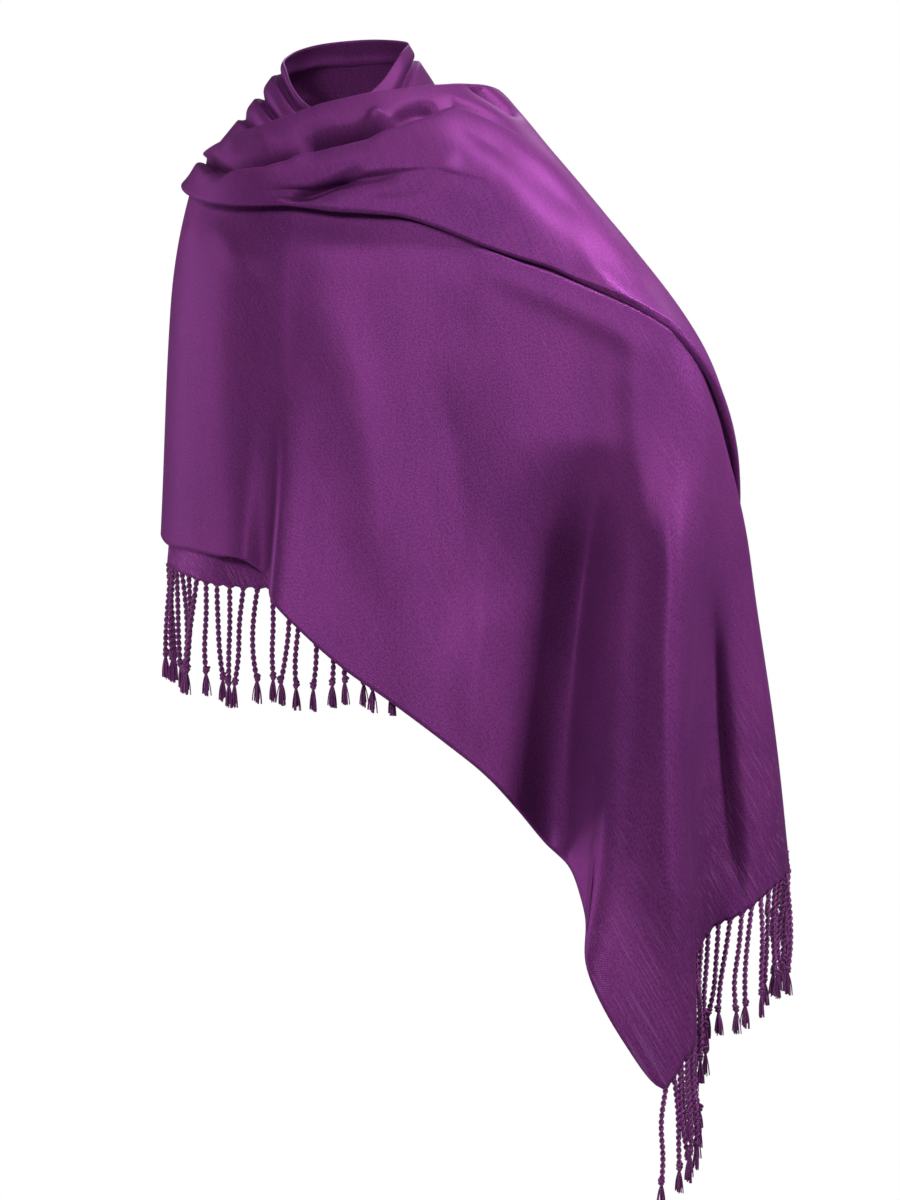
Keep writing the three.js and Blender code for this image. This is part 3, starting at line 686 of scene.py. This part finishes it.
def cloth_material(settings, name, roughness):
    """Smooth twill with a satin sheen: twill lines, slubs along the warp, and grain, with painted
    light of the backdrop showing through the open weave near the hems.
    """
    material, tree = new_material(name)
    place = tree.node("ShaderNodeTexCoord").outputs
    loose = tree.value("ShaderNodeAttribute", "Fac", {"attribute_name": "open_weave"})
    broad = tree.noise(place["Object"], BROAD_RATE, 3.0)
    hanging = tree.node("ShaderNodeMapping", {"vector_type": "TEXTURE"}, Vector=place["Object"],
                        Rotation=(0, THREAD_LEAN, 0), Scale=[1 / rate for rate in WARP_RATE])
    warp = tree.noise(hanging.outputs[0], detail=2.0)
    along_weft = tree.node("ShaderNodeMapping", Vector=place["UV"], Scale=WEFT_RATE)
    weft = tree.noise(along_weft.outputs[0])
    grain = tree.node("ShaderNodeMapping", Vector=place["UV"], Scale=GRAIN_RATE)
    speck = tree.noise(grain.outputs[0])
    diagonal = {"wave_type": "BANDS", "bands_direction": "DIAGONAL"}
    twill = tree.value("ShaderNodeTexWave", 1, diagonal, Vector=place["UV"], Scale=TWILL_RATE,
                       Distortion=0.5, Detail=1.0)
    slub = tree.value("ShaderNodeMapRange", s0=warp, s1=SLUB_RANGE[0], s2=SLUB_RANGE[1])
    tone = broad * 0.9 + warp * 0.5 + weft * 0.35 + speck * 1.7 - 1.2
    ground = tree.colours(tone, settings.shade_colour, settings.cloth_colour)
    # Pale slubs along the warp, and near the hems painted light of the backdrop showing through the
    # open weave
    colour = tree.colours(slub * (loose * SLUB_AND_SEE_THROUGH_SHOWS[0] + SLUB_AND_SEE_THROUGH_SHOWS[1]), ground, SLUB_AND_SEE_THROUGH_COLOUR)
    relief = twill * 0.5 + warp * 0.6 + weft * 0.4 + speck * 0.8
    bump = tree.node("ShaderNodeBump", Strength=0.4, Distance=RELIEF_DEPTH, Height=relief)
    rough = warp * 0.14 + broad * 0.06 + (roughness - 0.1)
    show(tree, tree.node(
        "ShaderNodeBsdfPrincipled", Base_Color=colour, Roughness=rough, Normal=bump.outputs[0],
        Metallic=0.3, Sheen_Weight=0.03, Sheen_Roughness=0.3, Sheen_Tint=SHEEN_TINT,
        Specular_IOR_Level=0.02, Specular_Tint=EDGE_TINT))


def fringe_material(settings, name):
    """Twisted yarn: matt, of the cloth's own purple, with fine fibre relief."""
    material, tree = new_material(name)
    place = tree.node("ShaderNodeTexCoord").outputs
    fibre = tree.noise(place["Object"], FIBRE_RATE, 2.0)
    broad = tree.noise(place["Object"], YARN_RATE)
    tone = broad * 0.7 + fibre * 0.5 - 0.1
    colour = tree.colours(tone, settings.hollow_colour, settings.yarn_colour)
    bump = tree.node("ShaderNodeBump", Strength=0.5, Distance=RELIEF_DEPTH, Height=fibre)
    show(tree, tree.node(
        "ShaderNodeBsdfPrincipled", Base_Color=colour, Roughness=fibre * 0.2 + 0.5,
        Normal=bump.outputs[0], Sheen_Weight=0.06, Sheen_Roughness=0.5, Sheen_Tint=SHEEN_TINT,
        Specular_IOR_Level=0.12))


OUTER = Surface(OUTER_RIBS)
UPPER_HALF = Surface([rib[:4] for rib in OUTER_RIBS])
LOWER_HALF = Surface([rib[3:] for rib in OUTER_RIBS])
NECK = Surface(NECK_RIBS)
BACK = Surface(BACK_RIBS)
UNDER = Surface([[neck[-1], *rib] for neck, rib in zip(NECK_RIBS[-len(UNDER_RIBS):], UNDER_RIBS)])


def moved(place, down, out):
    """A surface's points moved down its ribs and outwards."""
    point, downwards, outwards = place
    return point + downwards * np.asarray(down)[..., None] + outwards * np.asarray(out)[..., None]


def scallops(hem, pitch, drop):
    """How far each point of a hem is drawn down towards the root of its nearest strand."""
    phase = (arc_lengths(hem) - pitch / 4) / pitch
    near = 1 - np.abs(phase - np.round(phase)) * 2
    return drop * near**1.6


def near_hem(points, reach):
    """From 1 at a stretch's foot to 0 at a distance above it."""
    away = np.linalg.norm(points - points[:, -1:], axis=2)
    return smooth(1 - away / reach)


def hang(points, hem_columns, pitch, drop, rows=5):
    """Draws the last rows of a stretch down into scallops at the fringe's roots."""
    fall = scallops(points[hem_columns, -1], pitch, drop)
    for row in range(1, rows + 1):
        points[hem_columns, -row, 2] -= fall * (1 - (row - 1) / rows) ** 1.5


def front_fall_points(settings):
    """The smooth lower half, tucked in behind the upper one, with its folds and scalloped hem."""
    columns, rows = grid_counts("front_fall", settings.mesh_step)
    rib = np.linspace(0, LAST_RIB, columns)
    shows = read_table(PLEAT, 2, rib)[:, None]
    length = LOWER_HALF.lengths(rib)[:, None]
    start = FALL_START * MM / length
    down = start + (1 - start) * np.linspace(0, 1, rows)
    drop = down * length
    edge = LOWER_HALF.places(rib, np.zeros((len(rib), 1)))
    upper = UPPER_HALF.places(rib, np.ones((len(rib), 1)))
    inward = TUCK_HIDDEN[:, 0] + (TUCK_ROLLED[:, 0] - TUCK_HIDDEN[:, 0]) * shows
    up = TUCK_HIDDEN[:, 1] + (TUCK_ROLLED[:, 1] - TUCK_HIDDEN[:, 1]) * shows
    below, above = (moved(place, -up * MM, -inward * MM) for place in (edge, upper))
    recess = read_table(RECESS, 1, rib)[:, None] * MM
    tuck = np.where((up < 0)[..., None], below, above) - edge[2] * recess[..., None]
    place = LOWER_HALF.places(rib, down)
    fade = np.clip(1 - down / TUCK_FADE, 0, 1) ** 2
    out = -TUCK_HIDDEN[-1, 0] * MM * (1 - shows) * fade * smooth(rib / 1.5)[:, None]
    out = out - recess * np.exp(-(drop / MM / RECESS_REACH) ** 2)
    out = out + ripples(place[0], "front_fall") * smooth(drop / 0.05)
    fall = moved(place, 0 * down, out)
    # The folds move the cloth forwards and back alone, so that the hem's outline stays
    fall[..., 1] -= fold_height(place[0], FALL_FOLDS, -1, place[2]) * smooth(drop / 0.03)
    points = np.concatenate([tuck, fall], axis=1)
    hem_columns = np.nonzero(rib >= CORNER_RIB)[0]
    hang(points, hem_columns, bpy.context.scene.shawl_fringe.strand_pitch, settings.hem_scallop)
    past_corner = smooth((rib[:, None] - CORNER_RIB + 3) / 3)
    return points, near_hem(points, OPEN_WEAVE_FRONT) * past_corner


def rolled(place, side, turn):
    """An edge that rolls inwards, upwards for side -1 and downwards for side 1."""
    angle = np.linspace(0, 1, LIP_STEPS + 1)[1:] * np.radians(turn)[:, None]
    radius = LIP_RADIUS * MM
    return moved(place, side * radius * np.sin(angle), -radius * (1 - np.cos(angle)))


def shoulder_wrap_points(settings):
    """The gathered upper half: the cowl's creases and folds between two rolled edges."""
    columns, rows = grid_counts("shoulder_wrap", settings.mesh_step)
    rib = np.linspace(0, LAST_RIB, columns)
    length = UPPER_HALF.lengths(rib)[:, None]
    turn = read_table(TOP_ROLL, 1, rib)
    rise = LIP_RADIUS * MM * np.sin(np.radians(np.minimum(turn, 90)))
    start = rise[:, None] / length
    slot = read_table(PLEAT, 1, rib)[:, None] * SLOT_CLOSING
    end = 1 - (slot + LIP_RADIUS) * MM / length
    down = start + (end - start) * np.linspace(0, 1, rows)
    place = UPPER_HALF.places(rib, down)
    first, deep, second, second_deep = (
        read_table(COWL_CREASES, column, rib)[:, None] for column in (1, 2, 3, 4))
    second = np.minimum(second, first + (end - first) * LOWEST_CREASE)
    below_first = (down - first) * length / MM
    sunk = crease(deep, below_first, FIRST_CREASE)
    sunk += crease(second_deep, (down - second) * length / MM, SECOND_CREASE)
    lap, lap_line, lap_widths = CREASE_LAP
    lap = smooth(deep / DEEP_CREASE) * crease(lap, below_first - lap_line, lap_widths)
    out = fold_height(place[0], WRAP_FOLDS, -1, place[2])
    out = out + fold_height(place[0], WRAP_BACK_FOLDS, 1, place[2])
    edge = np.minimum(down - start, end - down) * length
    out = out + ripples(place[0], "shoulder_wrap") * smooth(edge / 0.03)
    sunk = CREASE_GAIN * sunk * smooth((end - down) * length / 0.004)
    body = moved(place, -lap * MM, out - sunk * MM)
    top = rolled(UPPER_HALF.places(rib, start), -1, turn)[:, ::-1]
    lip = rolled(UPPER_HALF.places(rib, end), 1, np.full(len(rib), float(LIP_TURN)))
    return np.concatenate([top, body, lip], axis=1), CLOSED_WEAVE


def plain_places(surface, stretch, step):
    """An even grid over a whole surface: its rib numbers, places down the ribs and points."""
    columns, rows = grid_counts(stretch, step)
    rib = np.linspace(0, surface.last, columns)
    down = np.tile(np.linspace(0, 1, rows), (columns, 1))
    return rib, down, surface.places(rib, down)


def neck_wrap_points(settings):
    """The stretch that stands round the nape, with its three pleats."""
    rib, down, place = plain_places(NECK, "neck_wrap", settings.mesh_step * NECK_MESH_SHARE)
    length = NECK.lengths(rib)[:, None]
    sunk = np.zeros(down.shape)
    for column in (1, 3, 5):
        line = read_table(NECK_PLEATS, column, rib)[:, None]
        deep = read_table(NECK_PLEATS, column + 1, rib)[:, None]
        sunk += crease(deep, (down - line) * length / MM, NECK_CREASE)
    sunk = CREASE_GAIN * sunk * MM * smooth((1 - down) * length / 0.02)
    return moved(place, 0 * down, -sunk), CLOSED_WEAVE


def back_fall_points(settings):
    """The stretch across the back, with low folds that fade out before its seams."""
    rib, down, place = plain_places(BACK, "back_fall", settings.mesh_step)
    fade = smooth(rib / SEAM_RIBS)[:, None] * smooth((BACK.last - rib) / SEAM_RIBS)[:, None]
    out = fold_height(place[0], BACK_FOLDS, 1, place[2]) + ripples(place[0], "back_fall")
    return moved(place, 0 * down, out * fade * smooth(down / 0.08)), CLOSED_WEAVE


def under_end_points(settings):
    """The first end, with its scalloped hem."""
    rib, down, place = plain_places(UNDER, "under_end", settings.mesh_step)
    out = fold_height(place[0], UNDER_FOLDS, -1, place[2]) * smooth(down / 0.15)
    points = moved(place, 0 * down, out)
    fringe = bpy.context.scene.shawl_fringe
    hang(points, np.arange(len(rib)), fringe.under_pitch, settings.hem_scallop)
    return points, near_hem(points, OPEN_WEAVE_UNDER)


def finish_cloth(node, make_points):
    """One stretch as a cloth piece, in place of its node."""
    settings = bpy.context.scene.shawl_cloth
    points, open_weave = make_points(settings)
    name = f"{node}_cloth"
    mesh = wall_mesh(name, points, settings.cloth_thickness, open_weave)
    obj = add_piece(name, mesh, node)


class SHAWL_OT_materials(bpy.types.Operator):
    """Make the cloth's and the fringe's materials"""
    bl_idname = "shawl.materials"
    bl_label = "Materials"

    def execute(self, context):
        cloth_material(context.scene.shawl_cloth, "shawl_cloth", roughness=0.46)
        fringe_material(context.scene.shawl_fringe, "shawl_fringe")
        return {"FINISHED"}


class SHAWL_OT_front_fall(bpy.types.Operator):
    """Make the smooth lower half of the outer turn"""
    bl_idname = "shawl.front_fall"
    bl_label = "Front fall"

    def execute(self, context):
        finish_cloth("front_fall", front_fall_points)
        return {"FINISHED"}


class SHAWL_OT_shoulder_wrap(bpy.types.Operator):
    """Make the gathered upper half of the outer turn"""
    bl_idname = "shawl.shoulder_wrap"
    bl_label = "Shoulder wrap"

    def execute(self, context):
        finish_cloth("shoulder_wrap", shoulder_wrap_points)
        return {"FINISHED"}


class SHAWL_OT_neck_wrap(bpy.types.Operator):
    """Make the stretch that stands round the nape"""
    bl_idname = "shawl.neck_wrap"
    bl_label = "Neck wrap"

    def execute(self, context):
        finish_cloth("neck_wrap", neck_wrap_points)
        return {"FINISHED"}


class SHAWL_OT_back_fall(bpy.types.Operator):
    """Make the stretch across the back"""
    bl_idname = "shawl.back_fall"
    bl_label = "Back fall"

    def execute(self, context):
        finish_cloth("back_fall", back_fall_points)
        return {"FINISHED"}


class SHAWL_OT_under_end(bpy.types.Operator):
    """Make the first end, which hangs under the rest"""
    bl_idname = "shawl.under_end"
    bl_label = "Under end"

    def execute(self, context):
        finish_cloth("under_end", under_end_points)
        return {"FINISHED"}


# A strand: how much its length varies in metres, the share of it above the knot, the length of a
# piece of its path in twists, and the plies' distance from its middle in ply radii
UNEVEN_LENGTH = 0.004
KNOT_PLACE = 0.82
PATH_STEP = 0.14
PLY_OFFSET = 0.68

# Its knot and fibres: how far they lean at most in radians, the least and most sizes of a fibre,
# and the fibres' share of the strand
KNOT_LEAN = 0.35
FRAY_LEAN = 0.09
FIBRE_SIZES = ((0.1, 1, 0.8), (1, 1, 1.06))
TUFT_SHARE = 0.2


def arc_samples(points, pitch):
    """Points at an even pitch along a line, starting a quarter of a pitch in."""
    arc = arc_lengths(points)
    wanted = np.arange(pitch / 4, arc[-1], pitch)
    return np.stack([np.interp(wanted, arc, points[:, axis]) for axis in range(3)], axis=1)


def strand_paths(hem, pitch, length, tips, seed, lean):
    """Each strand's path from its root at the hem to its knot, with a swing, a bow and a kink."""
    rng = np.random.default_rng(seed)
    paths = []
    for number, root in enumerate(arc_samples(hem, pitch)):
        full = length + UNEVEN_LENGTH * np.sin(number * 5.1)
        swing = rng.normal(size=2) * lean
        if tips is not None:
            swing[0] += np.interp(root[0] / MM, *np.array(tips).T) * MM
        bow = rng.normal(size=2) * lean * 0.8
        kink = rng.normal(size=2) * lean * 0.3
        s = np.linspace(0, KNOT_PLACE, 16)[:, None]
        sway = swing * s**1.5 + bow * np.sin(np.pi * s) + kink * np.sin(2.7 * np.pi * s) * s
        paths.append(root + np.concatenate([sway, -full * s], axis=1))
    return paths


def path_object(name, paths):
    """One curve object with a poly spline for each strand."""
    curve = bpy.data.curves.new(name, "CURVE")
    curve.dimensions = "3D"
    for path in paths:
        spline = curve.splines.new("POLY")
        spline.points.add(len(path) - 1)
        for point, place in zip(spline.points, path):
            point.co = (*place, 1)
    return add_object(name, curve)


def cord_tree(material):
    """Two plies twisted along each path, an overhand knot at its end and loose fibres below it."""
    group = bpy.data.node_groups.new("Twisted cord", "GeometryNodeTree")
    face = group.interface
    face.new_socket("Geometry", in_out="INPUT", socket_type="NodeSocketGeometry")
    sizes = {}
    for name, kind in (("Ply radius", "Float"), ("Twist pitch", "Float"), ("Tuft length", "Float"),
                       ("Fibres", "Int"), ("Seed", "Int")):
        socket = face.new_socket(name, in_out="INPUT", socket_type=f"NodeSocket{kind}")
        sizes[name] = socket.identifier
    face.new_socket("Geometry", in_out="OUTPUT", socket_type="NodeSocketGeometry")
    tree = Tree(group)
    given = tree.node("NodeGroupInput").outputs
    radius, pitch, tuft_length = (Value(tree, given[name]) for name in list(sizes)[:3])
    paths = tree.node("GeometryNodeResampleCurve", {"mode": "LENGTH"}, Curve=given["Geometry"],
                      Length=pitch * PATH_STEP)
    reach = tree.node("GeometryNodeSplineParameter")
    turns = tree.value("ShaderNodeMath", settings={"operation": "DIVIDE"},
                       s0=reach.outputs["Length"], s1=pitch)
    tilted = tree.node("GeometryNodeSetCurveTilt", Curve=paths.outputs[0], Tilt=turns * (2 * np.pi))
    round_ply = tree.circle(6, radius)
    plies = []
    for side in (-1, 1):
        offset = tree.node("ShaderNodeCombineXYZ", X=radius * (PLY_OFFSET * side))
        plies.append(tree.node("GeometryNodeTransform", Geometry=round_ply.outputs[0],
                               Translation=offset.outputs[0]))
    cords = tree.swept(tilted, tree.join(*plies))

    # The knot: a short fat coil round a core, on the last point of each path
    ends = tree.node("GeometryNodeCurveEndpointSelection", Start_Size=0, End_Size=1)
    not_end = tree.node("FunctionNodeBooleanMath", {"operation": "NOT"}, s0=ends.outputs[0])
    only_ends = tree.node("GeometryNodeDeleteGeometry", {"domain": "POINT"},
                          Geometry=given["Geometry"], Selection=not_end.outputs[0])
    tips = tree.node("GeometryNodeCurveToPoints", {"mode": "EVALUATED"}, Curve=only_ends.outputs[0])
    coil = tree.node("GeometryNodeCurveSpiral", Resolution=14, Rotations=1.7,
                     Start_Radius=radius * 1.15, End_Radius=radius * 1.3, Height=radius * 3.2)
    core = tree.node("GeometryNodeMeshUVSphere", Segments=8, Rings=6, Radius=radius * 1.5)
    knot = tree.join(tree.swept(coil, tree.circle(6, radius * 0.95)), core)
    knots = tree.node("GeometryNodeInstanceOnPoints", Points=tips.outputs[0],
                      Instance=knot.outputs[0], Rotation=tree.random_turn(given["Seed"], KNOT_LEAN))

    # The frayed end: loose fibres that fan out a little below each knot
    many = tree.node("GeometryNodeDuplicateElements", {"domain": "POINT"}, Geometry=tips.outputs[0],
                     Amount=given["Fibres"])
    fan = tree.random_turn(given["Seed"], FRAY_LEAN)
    size = tree.random_vector(given["Seed"], *FIBRE_SIZES)
    half = tree.node("ShaderNodeCombineXYZ", X=radius * 2.4, Z=tuft_length * -0.4)
    drop = tree.node("ShaderNodeCombineXYZ", X=radius * 2.0, Z=tuft_length * -1.0)
    fibre = tree.node("GeometryNodeCurveQuadraticBezier", Resolution=5, Start=(0, 0, 0),
                      Middle=half.outputs[0], End=drop.outputs[0])
    loose = tree.node("GeometryNodeInstanceOnPoints", Points=many.outputs[0],
                      Instance=fibre.outputs[0], Rotation=fan, Scale=size)
    real = tree.node("GeometryNodeRealizeInstances", Geometry=loose.outputs[0])
    tuft = tree.swept(real, tree.circle(3, radius * 0.4))

    everything = tree.join(cords, knots, tuft)
    realized = tree.node("GeometryNodeRealizeInstances", Geometry=everything.outputs[0])
    smoothed = tree.node("GeometryNodeSetShadeSmooth", Geometry=realized.outputs[0])
    finished = tree.node("GeometryNodeSetMaterial", Geometry=smoothed.outputs[0], Material=material)
    show(tree, finished, "NodeGroupOutput")
    return group, sizes


def make_fringe(name, node, paths, seed):
    """The cords, knots and frayed ends of one fringe, as one plain mesh."""
    settings = bpy.context.scene.shawl_fringe
    material = bpy.data.materials["shawl_fringe"]
    source = path_object(name + "_paths", paths)
    group, sizes = cord_tree(material)
    modifier = source.modifiers.new("cords", "NODES")
    modifier.node_group = group
    modifier[sizes["Ply radius"]] = settings.ply_radius
    modifier[sizes["Twist pitch"]] = settings.twist_pitch
    modifier[sizes["Tuft length"]] = settings.strand_length * TUFT_SHARE
    modifier[sizes["Fibres"]] = settings.fibres
    modifier[sizes["Seed"]] = seed
    graph = bpy.context.evaluated_depsgraph_get()
    mesh = bpy.data.meshes.new_from_object(source.evaluated_get(graph), depsgraph=graph)
    mesh.name = name
    source.modifiers.remove(modifier)
    bpy.data.objects.remove(source)
    if len(mesh.polygons) == 0:
        raise RuntimeError(f"{name} came out empty")
    if not mesh.materials:
        mesh.materials.append(material)
    add_piece(name, mesh, node)


def outer_hem(first, last, steps):
    """The hem of the outer turn between two ribs."""
    return OUTER.points(np.linspace(first, last, steps), np.ones((steps, 1)))[:, 0]


class SHAWL_OT_fringe(bpy.types.Operator):
    """Make the fringe of both ends"""
    bl_idname = "shawl.fringe"
    bl_label = "Fringe"

    def execute(self, context):
        settings = context.scene.shawl_fringe
        under = UNDER.points(np.linspace(0, UNDER.last, 80), np.ones((80, 1)))[:, 0]
        front = outer_hem(CORNER_RIB, OUTERMOST_RIB, 160)
        rim = UPPER_HALF.points(np.array([float(LAST_RIB)]), np.linspace(1, 0, 80)[None])[0]
        back = np.concatenate([outer_hem(OUTERMOST_RIB + 0.5, LAST_RIB, 80), rim])
        for end, hem, pitch, tips, seed, lean in (
                ("under", under, settings.under_pitch, UNDER_TIPS, 3, 0.0028),
                ("front", front, settings.strand_pitch, FRONT_TIPS, 8, 0.0036),
                ("back", back, settings.strand_pitch, None, 14, 0.0036)):
            paths = strand_paths(hem, pitch, settings.strand_length, tips, seed, lean)
            make_fringe(f"{end}_fringe_cords", f"fringe_{end}", paths, seed)
        return {"FINISHED"}


# The camera stands far off, level with the middle of the frame. All in metres
CAMERA_DISTANCE = 9.0
SENSOR_HEIGHT = 36
FRAME_HEIGHT = 1.2 * 0.78
FRAME_CENTRE = (0.0819, -0.09, -0.3666)
FLOOR_HEIGHT = -1.05
FLOOR_RADIUS = 3.6
FLOOR_SIDES = 96

# The white paper floor glows a little, and dim light comes from all round
PAPER = (0.86, 0.86, 0.86, 1)
PAPER_GLOW = 0.2
AMBIENT = 0.09
WHITE = (1, 1, 1, 1)

# Each light: name, place, size, watts, target, spread in degrees
LIGHTS = (
    ("key", (-1.2, -2.9, 0.95), (0.7, 0.7), 16, (0.05, -0.1, -0.25), 80),
    ("fill", (0.9, -3.2, -0.2), (1.6, 1.6), 3, FRAME_CENTRE, 180),
    ("left_edge", (-2.0, 1.2, 0.1), (0.5, 1.4), 36, FRAME_CENTRE, 180),
    ("back", (0.8, 2.8, 1.8), (1.2, 1.2), 50, FRAME_CENTRE, 180),
    ("shoulder", (1.4, -0.8, 1.5), (0.35, 0.35), 4, (0.3, -0.14, -0.13), 28),
)


def add_light(name, place, size, power, target, spread):
    """An area light aimed at a point."""
    light = bpy.data.lights.new(name, "AREA")
    light.shape = "RECTANGLE"
    light.size, light.size_y = size
    light.energy = power
    light.spread = np.radians(spread)
    obj = add_object(name, light)
    obj.location = place
    obj.rotation_euler = (Vector(target) - Vector(place)).to_track_quat("-Z", "Y").to_euler()


def studio_world():
    """Dim light from all round, behind it a plain white backdrop."""
    world = bpy.data.worlds.new("studio")
    world.use_nodes = True
    world.node_tree.nodes.clear()
    tree = Tree(world.node_tree)
    light = tree.node("ShaderNodeBackground", Color=WHITE, Strength=AMBIENT)
    backdrop = tree.node("ShaderNodeBackground", Color=WHITE, Strength=1.0)
    rays = tree.node("ShaderNodeLightPath")
    mixed = tree.node("ShaderNodeMixShader", s0=rays.outputs["Is Camera Ray"], s1=light.outputs[0],
                      s2=backdrop.outputs[0])
    show(tree, mixed, "ShaderNodeOutputWorld")
    return world


def paper_floor():
    """A round sheet of paper under the shawl."""
    around = np.linspace(0, 2 * np.pi, FLOOR_SIDES, endpoint=False)
    rim = [(FLOOR_RADIUS * np.cos(a), FLOOR_RADIUS * np.sin(a), FLOOR_HEIGHT) for a in around]
    mesh = bpy.data.meshes.new("floor")
    mesh.from_pydata(rim, [], [range(FLOOR_SIDES)])
    paper, tree = new_material("paper")
    show(tree, tree.node("ShaderNodeBsdfPrincipled", Base_Color=PAPER, Roughness=0.9,
                         Emission_Color=WHITE, Emission_Strength=PAPER_GLOW))
    mesh.materials.append(paper)
    return add_object("floor", mesh)


class SHAWL_OT_stage(bpy.types.Operator):
    """Make the floor, the lights and the camera"""
    bl_idname = "shawl.stage"
    bl_label = "Stage"

    def execute(self, context):
        scene = context.scene
        paper_floor()
        scene.world = studio_world()
        scene.view_settings.view_transform = "Standard"
        for light in LIGHTS:
            add_light(*light)
        camera = bpy.data.cameras.new("camera")
        camera.sensor_fit = "VERTICAL"
        camera.sensor_height = SENSOR_HEIGHT
        camera.lens = SENSOR_HEIGHT * CAMERA_DISTANCE / FRAME_HEIGHT
        camera.clip_end = 60
        obj = add_object("camera", camera)
        x, y, z = FRAME_CENTRE
        obj.location = (x, y - CAMERA_DISTANCE, z)
        obj.rotation_euler = (np.pi / 2, 0, 0)
        scene.camera = obj
        return {"FINISHED"}


class SHAWL_PT_panel(bpy.types.Panel):
    """Lists the shawl's pieces"""
    bl_label = "Shawl"
    bl_idname = "SHAWL_PT_panel"
    bl_space_type = "VIEW_3D"
    bl_region_type = "UI"
    bl_category = "Shawl"

    def draw(self, context):
        for settings in (context.scene.shawl_cloth, context.scene.shawl_fringe):
            for key in settings.__annotations__:
                self.layout.prop(settings, key)
        for operator in OPERATORS:
            self.layout.operator(operator.bl_idname)


OPERATORS = (SHAWL_OT_stage, SHAWL_OT_materials, SHAWL_OT_front_fall, SHAWL_OT_shoulder_wrap,
             SHAWL_OT_neck_wrap, SHAWL_OT_back_fall, SHAWL_OT_under_end, SHAWL_OT_fringe)
CLASSES = (ShawlSettings, FringeSettings, *OPERATORS, SHAWL_PT_panel)


def register():
    for cls in CLASSES:
        bpy.utils.register_class(cls)
    bpy.types.Scene.shawl_cloth = PointerProperty(type=ShawlSettings)
    bpy.types.Scene.shawl_fringe = PointerProperty(type=FringeSettings)


def unregister():
    del bpy.types.Scene.shawl_cloth
    del bpy.types.Scene.shawl_fringe
    for cls in reversed(CLASSES):
        bpy.utils.unregister_class(cls)


def main():
    register()
    bpy.ops.shawl.stage()
    bpy.ops.shawl.materials()
    bpy.ops.shawl.front_fall()
    bpy.ops.shawl.shoulder_wrap()
    bpy.ops.shawl.neck_wrap()
    bpy.ops.shawl.back_fall()
    bpy.ops.shawl.under_end()
    bpy.ops.shawl.fringe()


if __name__ == "__main__":
    main()
